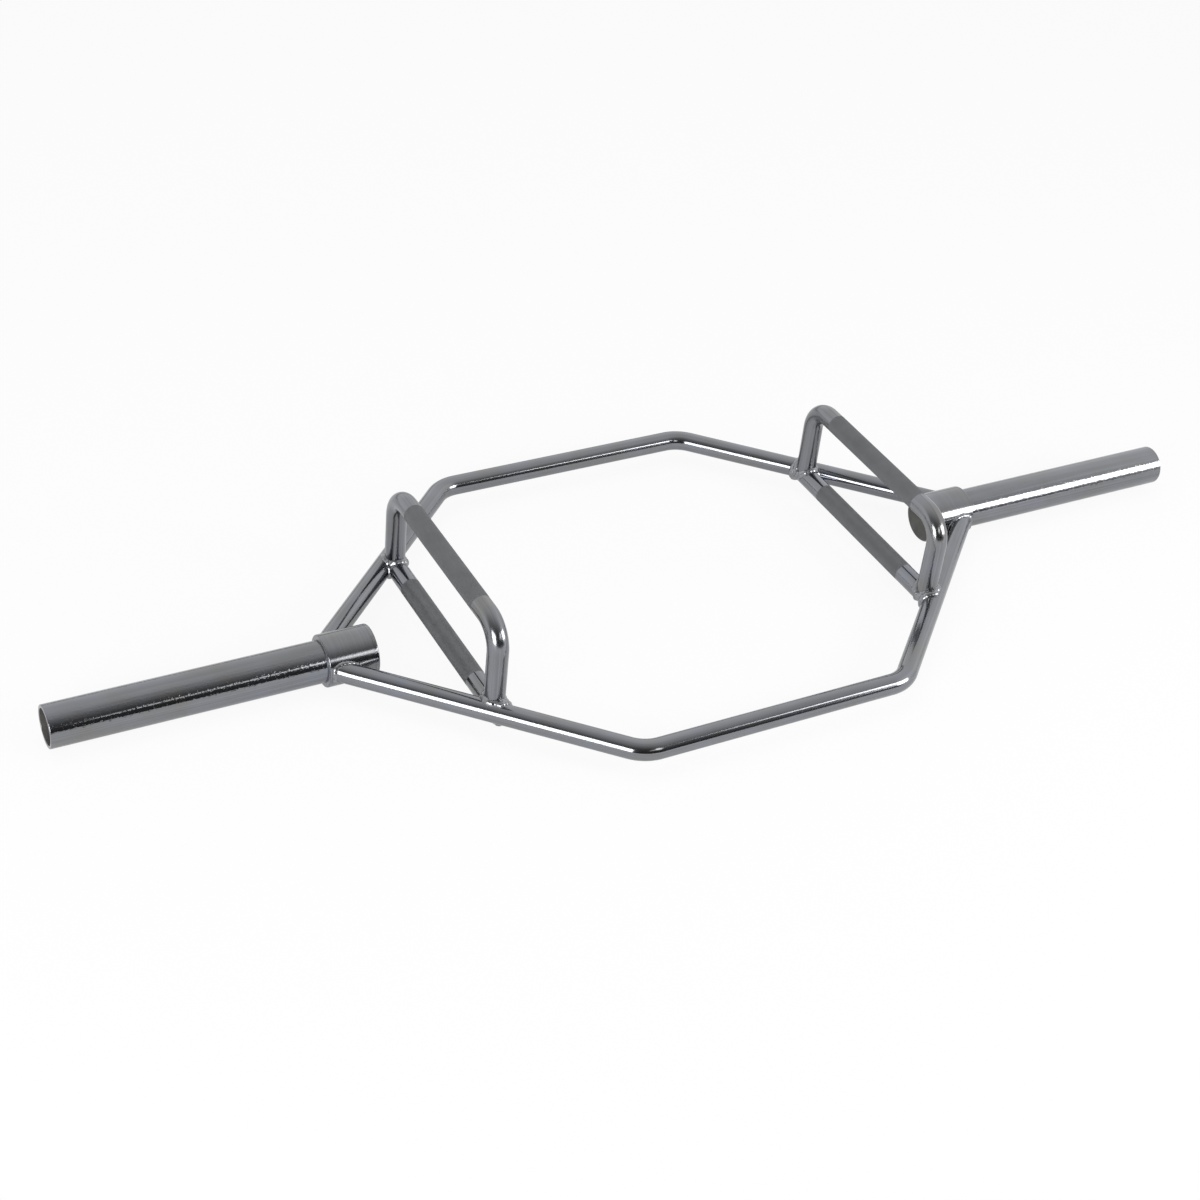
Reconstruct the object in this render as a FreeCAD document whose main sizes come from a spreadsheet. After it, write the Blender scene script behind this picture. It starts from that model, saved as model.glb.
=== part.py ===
import FreeCAD, Part
import math
import os
import Sketcher

# Hex trap bar with two handle heights, all of welded and plated steel.
# Frame: +Z up, +X along the two sleeves, -Y towards the lifter's toes. The origin is on the floor
# below the middle of the hexagon, and the collars stand on that floor.

# Driving sizes in millimetres
SIZES = {
    # round bar that the frame and all four handles are bent and cut from
    "bar_diameter": 25.0,
    # low handles across the hexagon, and raised handles straight above them
    "handle_spacing": 588.0,
    "post_spacing": 284.0,
    "handle_rise": 107.0,
    "handle_bend_radius": 32.0,
    # along the low handle, from the post's centre line to that of the frame bar
    "post_inset": 15.8,
    # height above the low handle's centre line where the saddle cut of a post ends
    "saddle_lift": 4.0,
    # room for the hand between a low handle and the end plate
    "hand_gap": 78.0,
    # discs that close the inner ends of the collars
    "plate_thickness": 5.0,
    "plate_chamfer": 1.5,
    # collars between the sleeves and the hexagon
    "collar_diameter": 62.0,
    "collar_length": 55.5,
    "collar_chamfer": 1.5,
    # sleeves that carry the plates: open tubes, turned down to a spigot inside the collar
    "sleeve_diameter": 50.0,
    "sleeve_wall": 4.0,
    "sleeve_shoulder": 2.0,
    "sleeve_chamfer": 1.0,
    "load_length": 317.0,
    "seat_clearance": 0.1,
    # hexagon: its half depth on the bar's centre line, and the gap on the side of the collar
    # between the frame bar and the collar's outer chamfer
    "frame_half_depth": 276.0,
    "frame_bend_radius": 45.0,
    "collar_edge_gap": 1.2,
    # weld beads
    "weld_leg": 3.5,
}

# Sides of the prisms that the weld beads are cut from
BEAD_SIDES = 24

# Sizes that follow from the driving ones. The sloping stretch of the frame runs through the low
# handle's end, and its bar ends at the edge gap on the side of the collar.
DERIVED = {
    "bar_radius": "bar_diameter / 2",
    "bead_radius": "bar_radius + weld_leg",
    "axis_height": "collar_diameter / 2",
    "sleeve_bore": "sleeve_diameter - 2 * sleeve_wall",
    "spigot_diameter": "sleeve_diameter - 2 * sleeve_shoulder",
    "collar_bore": "spigot_diameter + 2 * seat_clearance",
    "handle_x": "handle_spacing / 2",
    "handle_end_y": "post_spacing / 2 + post_inset",
    "plate_inner_x": "handle_x + bar_radius + hand_gap",
    "collar_inner_x": "plate_inner_x + plate_thickness",
    "edge_run": "collar_inner_x + collar_length - collar_chamfer - collar_edge_gap - handle_x",
    "edge_drop": "handle_end_y - axis_height",
    "slope_angle": "atan(edge_drop / edge_run) + asin(bar_radius / sqrt(edge_run ^ 2 + edge_drop ^ 2))",
    "slope_end_x": "handle_x + handle_end_y / tan(slope_angle)",
    "slope_length": "frame_half_depth / sin(slope_angle)",
    "corner_spacing": "2 * (slope_end_x - frame_half_depth / tan(slope_angle))",
}

doc = FreeCAD.newDocument("hex_trap_bar")
sheet = doc.addObject("Spreadsheet::Sheet", "Sizes")
cells = {alias: str(value) for alias, value in SIZES.items()}
cells.update({alias: f"={formula}" for alias, formula in DERIVED.items()})
for row, (alias, content) in enumerate(cells.items(), start=1):
    sheet.set(f"A{row}", alias.replace("_", " "))
    sheet.set(f"B{row}", content)
    sheet.setAlias(f"B{row}", alias)
doc.recompute()


def size(alias):
    """A size as its value, in millimetres or degrees, and its expression on the sheet."""
    value = sheet.get(alias)
    return getattr(value, "Value", value), f"Sizes.{alias}"


# Edges are told apart by their places, to this share of a radius
EDGE_TOLERANCE_SHARE = 1e-4

X_AXIS = FreeCAD.Vector(1, 0, 0)
Y_AXIS = FreeCAD.Vector(0, 1, 0)
Z_AXIS = FreeCAD.Vector(0, 0, 1)
UPRIGHT = (90, "90")
SIDES = {"left": -1, "right": 1}
ENDS = {"front": -1, "rear": 1}

nodes = []


def node(shape_object, label):
    """Name a finished piece and list it for writing."""
    shape_object.Label = label
    nodes.append(shape_object)
    return shape_object


def place(shape_object, rotation, x_text, y_text, z_text):
    """Turn an object and bind its position to the sheet."""
    shape_object.Placement = FreeCAD.Placement(FreeCAD.Vector(), rotation)
    for axis, text in zip("xyz", (x_text, y_text, z_text)):
        if text:
            shape_object.setExpression(f"Placement.Base.{axis}", text)


def signed(sign, text):
    """The expression, turned over on the left and front sides."""
    return text if sign > 0 else f"-({text})"


def origin_plane(body, role):
    return next(plane for plane in body.Origin.OriginFeatures if plane.Role == role)


def new_sketch(body, name, role):
    sketch = body.newObject("Sketcher::SketchObject", name)
    sketch.AttachmentSupport = [(origin_plane(body, role), "")]
    sketch.MapMode = "FlatFace"
    return sketch


def dimension(sketch, name, text, *constraint):
    """Add one driving dimension and bind it to the sheet."""
    index = sketch.addConstraint(Sketcher.Constraint(*constraint))
    sketch.renameConstraint(index, name)
    sketch.setExpression(f"Constraints.{name}", text)


def circle_in(sketch, name, diameter_text):
    """A circle about the sketch's origin whose diameter follows the sheet."""
    index = sketch.addGeometry(Part.Circle(FreeCAD.Vector(), Z_AXIS, SIZES["bar_diameter"] / 2), False)
    sketch.addConstraint(Sketcher.Constraint("Coincident", index, 3, -1, 1))
    dimension(sketch, name, diameter_text, "Diameter", index, SIZES["bar_diameter"])


def circular_edges(shape, radius, x_place):
    """Names of the full circles of this radius about X that lie in the plane at x_place."""
    tolerance = radius * EDGE_TOLERANCE_SHARE
    found = []
    for number, edge in enumerate(shape.Edges, start=1):
        curve = edge.Curve
        if isinstance(curve, Part.Circle) and math.isclose(curve.Radius, radius, abs_tol=tolerance):
            if math.isclose(curve.Center.x, x_place, abs_tol=tolerance):
                found.append(f"Edge{number}")
    return found


# Sleeves, collars and end plates: round tubes and discs about X

def padded_tube(body, name, start_text, length_text, outer_text, inner_text=None):
    """A tube or disc added to a body, along +X from a place on its X axis."""
    section = new_sketch(body, f"{name}_section", "YZ_Plane")
    if start_text:
        section.setExpression("AttachmentOffset.Base.z", start_text)
    circle_in(section, "outer", outer_text)
    if inner_text:
        circle_in(section, "inner", inner_text)
    pad = body.newObject("PartDesign::Pad", f"{name}_pad")
    pad.Profile = section
    pad.setExpression("Length", length_text)
    doc.recompute()
    return pad


def break_edge(body, pad, size_text, radius, x_place):
    """Chamfer one rim of a tube or disc."""
    chamfer = body.newObject("PartDesign::Chamfer", f"{body.Name}_chamfer")
    chamfer.Base = (pad, circular_edges(pad.Shape, radius, x_place))
    chamfer.setExpression("Size", size_text)
    doc.recompute()


def outward(sign):
    """Turn +X of a body to the left or the right end of the bar."""
    return FreeCAD.Rotation(Z_AXIS, 0 if sign > 0 else 180)


def sleeve(side, sign):
    """An open tube whose shoulder meets the collar's outer face."""
    body = doc.addObject("PartDesign::Body", f"{side}_sleeve")
    padded_tube(body, f"{side}_spigot", None, "Sizes.collar_length",
                "Sizes.spigot_diameter", "Sizes.sleeve_bore")
    barrel = padded_tube(body, f"{side}_barrel", "Sizes.collar_length", "Sizes.load_length",
                         "Sizes.sleeve_diameter", "Sizes.sleeve_bore")
    tip = SIZES["collar_length"] + SIZES["load_length"]
    break_edge(body, barrel, "Sizes.sleeve_chamfer", SIZES["sleeve_diameter"] / 2, tip)
    place(body, outward(sign), signed(sign, "Sizes.collar_inner_x"), None, "Sizes.axis_height")
    node(body, f"{side}_sleeve")


def collar(side, sign):
    body = doc.addObject("PartDesign::Body", f"{side}_collar")
    pad = padded_tube(body, f"{side}_ring", None, "Sizes.collar_length",
                      "Sizes.collar_diameter", "Sizes.collar_bore")
    break_edge(body, pad, "Sizes.collar_chamfer", SIZES["collar_diameter"] / 2, SIZES["collar_length"])
    place(body, outward(sign), signed(sign, "Sizes.collar_inner_x"), None, "Sizes.axis_height")
    node(body, f"{side}_collar")


def end_plate(side, sign):
    body = doc.addObject("PartDesign::Body", f"{side}_end_plate")
    pad = padded_tube(body, f"{side}_disc", None, "Sizes.plate_thickness", "Sizes.collar_diameter")
    break_edge(body, pad, "Sizes.plate_chamfer", SIZES["collar_diameter"] / 2, 0)
    place(body, outward(sign), signed(sign, "Sizes.plate_inner_x"), None, "Sizes.axis_height")
    node(body, f"{side}_end_plate")


# Bent bars: leg, bend, run, bend, leg

def bent_path(sketch, leg_base, run_height, corner_spacing, leg_angle, bend_radius):
    """Centre line of a bar bent twice, alike on both sides of the sketch's vertical axis.

    Each size is a pair: its value, for the first drawing, and its expression on the sheet.
    """
    angle = math.radians(leg_angle[0])
    half = corner_spacing[0] / 2
    radius = bend_radius[0]
    setback = radius * math.tan(angle / 2)
    foot = half + (run_height[0] - leg_base[0]) / math.tan(angle)
    bend_end = half + setback * math.cos(angle)
    bend_drop = run_height[0] - setback * math.sin(angle)
    bend_start = half - setback
    middle = run_height[0] - radius

    def point(x, y):
        return FreeCAD.Vector(x, y, 0)

    left_arc = Part.Circle(point(-bend_start, middle), Z_AXIS, radius)
    right_arc = Part.Circle(point(bend_start, middle), Z_AXIS, radius)
    top = math.pi / 2
    left_leg = sketch.addGeometry(Part.LineSegment(point(-foot, leg_base[0]), point(-bend_end, bend_drop)))
    left_bend = sketch.addGeometry(Part.ArcOfCircle(left_arc, top, top + angle))
    run = sketch.addGeometry(
        Part.LineSegment(point(-bend_start, run_height[0]), point(bend_start, run_height[0])))
    right_bend = sketch.addGeometry(Part.ArcOfCircle(right_arc, top - angle, top))
    right_leg = sketch.addGeometry(Part.LineSegment(point(bend_end, bend_drop), point(foot, leg_base[0])))
    corner = sketch.addGeometry(Part.Point(point(-half, run_height[0])), True)

    relations = [
        ("Tangent", left_leg, 2, left_bend, 2),
        ("Tangent", left_bend, 1, run, 1),
        ("Tangent", run, 2, right_bend, 2),
        ("Tangent", right_bend, 1, right_leg, 1),
        ("Equal", left_bend, right_bend),
        ("Symmetric", left_leg, 1, right_leg, 2, -2),
        ("Symmetric", run, 1, run, 2, -2),
        ("PointOnObject", corner, 1, left_leg),
        ("PointOnObject", corner, 1, run),
    ]
    for relation in relations:
        sketch.addConstraint(Sketcher.Constraint(*relation))
    if leg_base[1]:
        dimension(sketch, "leg_base", leg_base[1], "DistanceY", -1, 1, left_leg, 1, leg_base[0])
    else:
        sketch.addConstraint(Sketcher.Constraint("PointOnObject", left_leg, 1, -1))
    dimension(sketch, "run_height", run_height[1], "DistanceY", -1, 1, run, 1, run_height[0])
    dimension(sketch, "half_spacing", f"{corner_spacing[1]} / 2", "DistanceX", corner, 1, -1, 1, half)
    dimension(sketch, "leg_angle", leg_angle[1], "Angle", left_leg, angle)
    dimension(sketch, "bend_radius", bend_radius[1], "Radius", left_bend, radius)


def bent_bar(name, role, **path_sizes):
    """A round bar swept along a bent centre line in one origin plane of its body."""
    body = doc.addObject("PartDesign::Body", name)
    path = new_sketch(body, f"{name}_path", role)
    bent_path(path, **path_sizes)
    doc.recompute()
    section = body.newObject("Sketcher::SketchObject", f"{name}_section")
    section.AttachmentSupport = [(path, "Edge1")]
    section.MapMode = "NormalToEdge"
    section.MapPathParameter = 0
    circle_in(section, "diameter", "Sizes.bar_diameter")
    doc.recompute()
    pipe = body.newObject("PartDesign::AdditivePipe", f"{name}_pipe")
    pipe.Profile = section
    pipe.Spine = (path, [])
    doc.recompute()
    return body


def frame_bar(end, sign):
    """Half of the hexagon, saddle-cut at both ends to sit on the sides of the collars."""
    name = f"{end}_frame_bar"
    body = bent_bar(
        name, "XY_Plane",
        leg_base=(0, None),
        run_height=size("frame_half_depth"),
        corner_spacing=size("corner_spacing"),
        leg_angle=size("slope_angle"),
        bend_radius=size("frame_bend_radius"),
    )
    collar_circle = new_sketch(body, f"{name}_collar_circle", "YZ_Plane")
    circle_in(collar_circle, "collar", "Sizes.collar_diameter")
    saddle = body.newObject("PartDesign::Pocket", f"{name}_saddle")
    saddle.Profile = collar_circle
    saddle.Type = "ThroughAll"
    saddle.Midplane = True
    doc.recompute()
    place(body, FreeCAD.Rotation(Z_AXIS, 0 if sign > 0 else 180), None, None, "Sizes.axis_height")
    return node(body, name)


# Saddle-cut handles

def cut(name, base, *tools):
    """The base without each tool in turn."""
    for number, tool in enumerate(tools, start=1):
        step = doc.addObject("Part::Cut", f"{name}_cut_{number}")
        step.Base = base
        step.Tool = tool
        base = step
    return base


def joined(kind, name, base, tool):
    """A Part::Fuse or Part::Common of two objects."""
    result = doc.addObject(f"Part::{kind}", name)
    result.Base = base
    result.Tool = tool
    return result


def low_handle(side, sign, front_bar, rear_bar):
    name = f"{side}_low_handle"
    bar = doc.addObject("Part::Cylinder", f"{name}_bar")
    bar.setExpression("Radius", "Sizes.bar_radius")
    bar.setExpression("Height", "2 * Sizes.handle_end_y")
    place(bar, FreeCAD.Rotation(Z_AXIS, Y_AXIS),
          signed(sign, "Sizes.handle_x"), "-Sizes.handle_end_y", "Sizes.axis_height")
    return node(cut(name, bar, front_bar, rear_bar), name)


def high_handle(side, sign, low, front_bar, rear_bar):
    """A raised handle whose posts are saddle-cut to the low handle and to the frame beside it."""
    name = f"{side}_high_handle"
    body = bent_bar(
        f"{name}_bar", "YZ_Plane",
        leg_base=size("saddle_lift"),
        run_height=size("handle_rise"),
        corner_spacing=size("post_spacing"),
        leg_angle=UPRIGHT,
        bend_radius=size("handle_bend_radius"),
    )
    place(body, FreeCAD.Rotation(), signed(sign, "Sizes.handle_x"), None, "Sizes.axis_height")
    return node(cut(name, body, low, front_bar, rear_bar), name)


# Weld beads at the right rear corner: what thicker prisms on the centre lines of the joined
# pieces share, less prisms whose flats touch the pieces

def prism(name, radius_text, length_text, direction, x_text, y_text, z_text):
    """A many-sided prism that starts at a point and runs in a direction."""
    solid = doc.addObject("Part::Prism", name)
    solid.Polygon = BEAD_SIDES
    solid.setExpression("Circumradius", radius_text)
    solid.setExpression("Height", length_text)
    place(solid, FreeCAD.Rotation(Z_AXIS, direction), x_text, y_text, z_text)
    return solid


def around(radius_text):
    """Circumradius of a prism whose flats touch a cylinder of this radius."""
    return f"{radius_text} / cos(180 deg / {BEAD_SIDES})"


def frame_prism(name, radius_text):
    """On the sloping stretch of the frame, from the sleeve's centre line to the corner."""
    angle = math.radians(size("slope_angle")[0])
    direction = FreeCAD.Vector(-math.cos(angle), math.sin(angle), 0)
    return prism(name, radius_text, "Sizes.slope_length", direction,
                 "Sizes.slope_end_x", None, "Sizes.axis_height")


def handle_prism(name, radius_text):
    """On the low handle, from its middle to its rear end."""
    return prism(name, radius_text, "Sizes.handle_end_y", Y_AXIS,
                 "Sizes.handle_x", None, "Sizes.axis_height")


def post_prism(name, radius_text):
    """On the foot of the raised handle's rear post."""
    return prism(name, radius_text, "2 * Sizes.bar_diameter", Z_AXIS,
                 "Sizes.handle_x", "Sizes.post_spacing / 2", "Sizes.axis_height + Sizes.saddle_lift")


def collar_prism(name, radius_text):
    """On the collar, from its inner end to its outer chamfer."""
    return prism(name, radius_text, "Sizes.collar_length - Sizes.collar_chamfer", X_AXIS,
                 "Sizes.collar_inner_x", None, "Sizes.axis_height")


def outer_half(name):
    """A block on the outer side of the sloping bar's upright middle plane."""
    block = doc.addObject("Part::Box", name)
    block.setExpression("Length", "Sizes.slope_length")
    block.setExpression("Width", "Sizes.bar_diameter")
    block.setExpression("Height", "2 * Sizes.bar_diameter")
    place(block, FreeCAD.Rotation(Z_AXIS, 180 - size("slope_angle")[0]),
          "Sizes.slope_end_x + Sizes.bar_diameter * sin(Sizes.slope_angle)",
          "Sizes.bar_diameter * cos(Sizes.slope_angle)",
          "Sizes.axis_height - Sizes.bar_diameter")
    return block


def collar_bead(frame_core):
    """The bead round the end of the frame bar, kept clear of the collar's outer rim."""
    shared = joined("Common", "collar_bead_shared",
                    frame_prism("collar_bead_frame", "Sizes.bead_radius"),
                    collar_prism("collar_bead_collar", "Sizes.axis_height + Sizes.weld_leg"))
    collar_core = collar_prism("collar_core", around("Sizes.axis_height"))
    return cut("collar_bead", shared, collar_core, frame_core)


def post_bead(frame_core, handle_core, post_core):
    """The bead round the foot of the post, on the low handle and on the frame bar beside it."""
    hosts = joined("Fuse", "post_bead_hosts",
                   frame_prism("post_bead_frame", "Sizes.bead_radius"),
                   handle_prism("post_bead_handle", "Sizes.bead_radius"))
    round_post = post_prism("post_bead_post", "Sizes.bead_radius")
    shared = joined("Common", "post_bead_shared", round_post, hosts)
    return cut("post_bead", shared, frame_core, handle_core, post_core)


def handle_bead(frame_core, handle_core, post_core, bead_above):
    """The bead round the end of the low handle, under the post that stands over it."""
    shared = joined("Common", "handle_bead_shared",
                    frame_prism("handle_bead_frame", "Sizes.bead_radius"),
                    handle_prism("handle_bead_handle", "Sizes.bead_radius"))
    return cut("handle_bead", shared, outer_half("handle_bead_outer_half"),
               frame_core, handle_core, post_core, bead_above)


def mirrored(name, source, normal):
    """The same piece on the other side of the middle plane with this normal."""
    copy = doc.addObject("Part::Mirroring", name)
    copy.Source = source
    copy.Normal = normal
    return copy


def at_four_corners(kind, right_rear):
    """One bead at each corner of the hexagon's handles or collars, all alike."""
    left_rear = mirrored(f"left_rear_{kind}", right_rear, X_AXIS)
    node(right_rear, f"right_rear_{kind}")
    node(left_rear, f"left_rear_{kind}")
    node(mirrored(f"right_front_{kind}", right_rear, Y_AXIS), f"right_front_{kind}")
    node(mirrored(f"left_front_{kind}", left_rear, Y_AXIS), f"left_front_{kind}")


# The assembly
frame = {end: frame_bar(end, sign) for end, sign in ENDS.items()}
for side, sign in SIDES.items():
    sleeve(side, sign)
    collar(side, sign)
    end_plate(side, sign)
    low = low_handle(side, sign, frame["front"], frame["rear"])
    high_handle(side, sign, low, frame["front"], frame["rear"])
cores = [
    frame_prism("frame_core", around("Sizes.bar_radius")),
    handle_prism("handle_core", around("Sizes.bar_radius")),
    post_prism("post_core", around("Sizes.bar_radius")),
]
foot_bead = post_bead(*cores)
at_four_corners("collar_weld", collar_bead(cores[0]))
at_four_corners("post_weld", foot_bead)
at_four_corners("handle_weld", handle_bead(*cores, foot_bead))
doc.recompute()

# Every object has to be sound before anything is written
for item in doc.Objects:
    if "Invalid" in item.State or "Error" in item.State:
        raise RuntimeError(f"{item.Name} failed: {item.State}")
for piece in nodes:
    if piece.Shape.isNull() or not piece.Shape.isValid() or len(piece.Shape.Solids) != 1:
        raise RuntimeError(f"{piece.Label} is not one sound solid")

os.makedirs("parts", exist_ok=True)
for piece in nodes:
    piece.Shape.exportStep(f"parts/{piece.Label}.step")
print(len(nodes), "pieces written")
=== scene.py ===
"""Looks of a hex trap bar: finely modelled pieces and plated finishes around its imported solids."""
import math

import bmesh
import bpy
from bpy.props import FloatProperty, FloatVectorProperty, PointerProperty
from mathutils import Matrix, Vector, noise


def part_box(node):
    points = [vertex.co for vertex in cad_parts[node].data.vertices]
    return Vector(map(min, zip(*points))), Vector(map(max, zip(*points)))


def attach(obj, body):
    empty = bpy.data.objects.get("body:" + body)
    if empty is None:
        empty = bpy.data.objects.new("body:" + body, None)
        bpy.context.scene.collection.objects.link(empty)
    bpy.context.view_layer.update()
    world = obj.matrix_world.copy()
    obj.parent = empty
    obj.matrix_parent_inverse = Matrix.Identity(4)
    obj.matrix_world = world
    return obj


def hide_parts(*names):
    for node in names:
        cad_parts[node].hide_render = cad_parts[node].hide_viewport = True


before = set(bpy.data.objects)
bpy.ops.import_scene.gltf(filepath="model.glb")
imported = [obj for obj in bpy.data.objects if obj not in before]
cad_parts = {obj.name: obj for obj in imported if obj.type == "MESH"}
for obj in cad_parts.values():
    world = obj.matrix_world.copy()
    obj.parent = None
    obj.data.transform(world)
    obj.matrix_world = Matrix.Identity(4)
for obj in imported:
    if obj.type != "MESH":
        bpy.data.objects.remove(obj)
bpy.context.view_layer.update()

bl_info = {
    "name": "Hex Trap Bar",
    "version": (1, 0, 0),
    "blender": (4, 5, 0),
    "location": "View3D > Sidebar > Trap Bar",
    "description": "Models a plated hex trap bar with knurled handles and welded joints",
    "category": "Object",
}

BODY = "root"
MM = 0.001

# Boxes of the solids that the sizes are read from
LOW_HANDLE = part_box("right_low_handle")
HIGH_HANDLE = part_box("right_high_handle")
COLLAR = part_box("right_collar")
END_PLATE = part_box("right_end_plate")
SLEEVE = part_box("right_sleeve")
REAR_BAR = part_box("rear_frame_bar")
BAR_RADIUS = (LOW_HANDLE[1].x - LOW_HANDLE[0].x) / 2

# Sides and steps of the round meshes
BAR_SIDES = 72
GRIP_SIDES = 96
ROUND_SIDES = 144
FRAME_BEND_STEPS = 18
HANDLE_BEND_STEPS = 30
BEAD_POINTS_PER_RIPPLE = 6
JOINT_STEPS = 720

# What counts as the same place, a double point, the same rim and a touch, and the room in a saddle cut
NEAR = 0.02 * MM
DOUBLE = NEAR / 4
RIM = 0.25 * MM
GRAZE = 0.1 * MM
FIT = 0.03 * MM

# Shares of a piece's broken edge that its smaller edges get
BORE_EDGE = 0.6
SHOULDER_EDGE = 0.5
SEAM_EDGE = 0.15

# Edges sharper than this stay sharp, and large faces decide how the rest are shaded
SHARP_ANGLE = math.radians(32)
SHADE_WEIGHT = 100

# How far from a grip's centre line its own points are, in bar radii
GRIP_REACH = 1.5

# How a welder's bead varies: sizes of the swelling, wandering and lumps, then how much of each
SWELL_SIZE = 10 * MM
WANDER_SIZE = 5 * MM
LUMP_SIZE = 6 * MM
WANDER_MM = 0.35
LUMP_SHARE = 0.18
RIPPLE_DRIFT = 0.35
BEAD_LEAST = 0.92
BEAD_RIPPLE = 0.08
BEAD_SWELL = 0.16
NOISE_SEED = 11
SEED_STEP = 7

FLIP_X = (-1, 1, 1)
FLIP_Y = (1, -1, 1)


def linear(code):
    """Linear colour of an sRGB hex value."""
    parts = [int(code[place:place + 2], 16) / 255 for place in (1, 3, 5)]
    return tuple(part / 12.92 if part <= 0.04045 else ((part + 0.055) / 1.055) ** 2.4 for part in parts)


def length(label, text, default):
    """A length that a user may change."""
    return FloatProperty(name=label, description=text, default=default, unit="LENGTH", precision=5)


def tint(label, text, code):
    """A colour that a user may change, written as an sRGB hex value."""
    return FloatVectorProperty(
        name=label, description=text, default=linear(code), subtype="COLOR", min=0, max=1)


class TrapBarSizes(bpy.types.PropertyGroup):
    """Sizes of the bar, most of them read from its solids."""

    bar_radius: length("Bar Radius", "Radius of the round bar", BAR_RADIUS)
    axis_height: length("Axis Height", "Height of the hexagon's plane", (COLLAR[0].z + COLLAR[1].z) / 2)
    handle_x: length("Handle Place", "Distance of the handles from the middle",
                     (LOW_HANDLE[0].x + LOW_HANDLE[1].x) / 2)
    post_y: length("Post Place", "Distance of the posts from the middle", HIGH_HANDLE[1].y - BAR_RADIUS)
    post_inset: length("Post Inset", "From a post to the frame bar along the low handle", 15.8 * MM)
    grip_height: length("Grip Height", "Height of the raised grip's centre line",
                        HIGH_HANDLE[1].z - BAR_RADIUS)
    handle_bend: length("Handle Bend", "Centre-line radius of the raised handle's bends", 32 * MM)
    half_depth: length("Half Depth", "From the middle to the long runs of the frame",
                       REAR_BAR[1].y - BAR_RADIUS)
    frame_bend: length("Frame Bend", "Centre-line radius of the frame's bends", 45 * MM)
    collar_inner: length("Collar Start", "Where the collar meets its end plate", COLLAR[0].x)
    collar_outer: length("Collar End", "Where the collar stops the plates", COLLAR[1].x)
    collar_radius: length("Collar Radius", "Outer radius of the collar", COLLAR[1].y)
    collar_bore: length("Collar Bore", "Radius of the collar's bore", 23.1 * MM)
    collar_edge: length("Collar Edge", "Broken edge of the collar", 1.5 * MM)
    collar_gap: length("Collar Gap", "From the frame bar to the collar's broken edge", 1.2 * MM)
    plate_inner: length("Plate Face", "Where the end plate's open face is", END_PLATE[0].x)
    plate_edge: length("Plate Edge", "Rounded edge of the end plate", 1.8 * MM)
    sleeve_tip: length("Sleeve Tip", "Where the sleeve ends", SLEEVE[1].x)
    sleeve_radius: length("Sleeve Radius", "Outer radius of the sleeve", SLEEVE[1].y)
    sleeve_wall: length("Sleeve Wall", "Wall of the sleeve's open tube", 4 * MM)
    sleeve_edge: length("Sleeve Edge", "Broken edge at the sleeve's tip", 1 * MM)
    spigot_step: length("Spigot Step", "Shoulder of the sleeve against the collar", 2 * MM)
    knurl_half: length("Knurl Half Length", "Half the length of a grip's knurl", 94 * MM)
    knurl_row: length("Knurl Row", "Half the length of one knurl diamond", 1.4 * MM)
    knurl_rise: length("Knurl Rise", "Height of the knurl's points over the bar", 0.12 * MM)
    knurl_cut: length("Knurl Cut", "Depth of the knurl's grooves in the bar", 0.3 * MM)
    bead_radius: length("Bead Radius", "Radius of a weld bead's section", 6.0 * MM)
    collar_bead_radius: length("Collar Bead Radius", "Radius of the smaller beads at the collars", 4.2 * MM)
    bead_lift: length("Bead Lift", "From the bars to the middle of a bead", -1.2 * MM)
    ripple_pitch: length("Ripple Pitch", "Distance between a bead's ripples", 4.8 * MM)


class TrapBarFinishes(bpy.types.PropertyGroup):
    """Colours of the finishes and the stage."""

    bar: tint("Plated Bar", "Bright plating on the round bars", "#888a8d")
    sleeve: tint("Plated Sleeve", "Bright plating on sleeves and collars", "#87898c")
    # The turned faces' lighter colour is painted light: they carry the collar's plating, made lighter to
    # look lit.
    face: tint("Turned Face", "Satin plating on the collars' turned faces", "#b4b5b7")
    knurl: tint("Knurl", "Plating on the cut knurl", "#7e8082")
    weld: tint("Weld", "Plating over the weld beads", "#96979a")
    # The end plate's dark colour is painted: a painted dark reflection of the dim surroundings that its face
    # mirrors.
    plate: tint("End Plate", "Thinly plated faced steel", "#6a6a67")
    bore: tint("Sleeve Bore", "Unplated steel inside the sleeves", "#6b6966")
    floor: tint("Floor", "Pale studio floor", "#f2f2f2")


def deselect():
    """Leave edit mode and select nothing."""
    if bpy.context.mode != "OBJECT":
        bpy.ops.object.mode_set(mode="OBJECT")
    bpy.ops.object.select_all(action="DESELECT")


def take(piece):
    """Select one piece and make it the active one."""
    deselect()
    piece.select_set(True)
    bpy.context.view_layer.objects.active = piece


def edit(piece):
    """Open a piece for editing."""
    take(piece)
    bpy.ops.object.mode_set(mode="EDIT")


def pick(piece, kind, test):
    """Select the vertices, edges or faces whose place passes a test."""
    bpy.ops.mesh.select_mode(type=kind)
    bpy.ops.mesh.select_all(action="DESELECT")
    mesh = bmesh.from_edit_mesh(piece.data)
    parts = {"VERT": mesh.verts, "EDGE": mesh.edges, "FACE": mesh.faces}[kind]
    found = 0
    for part in parts:
        if kind == "VERT":
            place = part.co
        elif kind == "EDGE":
            place = (part.verts[0].co + part.verts[1].co) / 2
        else:
            place = part.calc_center_median()
        if test(place):
            part.select_set(True)
            found += 1
    mesh.select_flush_mode()
    bmesh.update_edit_mesh(piece.data)
    if not found:
        raise RuntimeError(f"nothing to select on {piece.name}")


def on_axis(sizes, place_x):
    """A point of the sleeves' axis."""
    return Vector((place_x, 0, sizes.axis_height))


def off_axis(sizes, place):
    """How far a place is from the sleeves' axis."""
    return math.hypot(place.y, place.z - sizes.axis_height)


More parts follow.
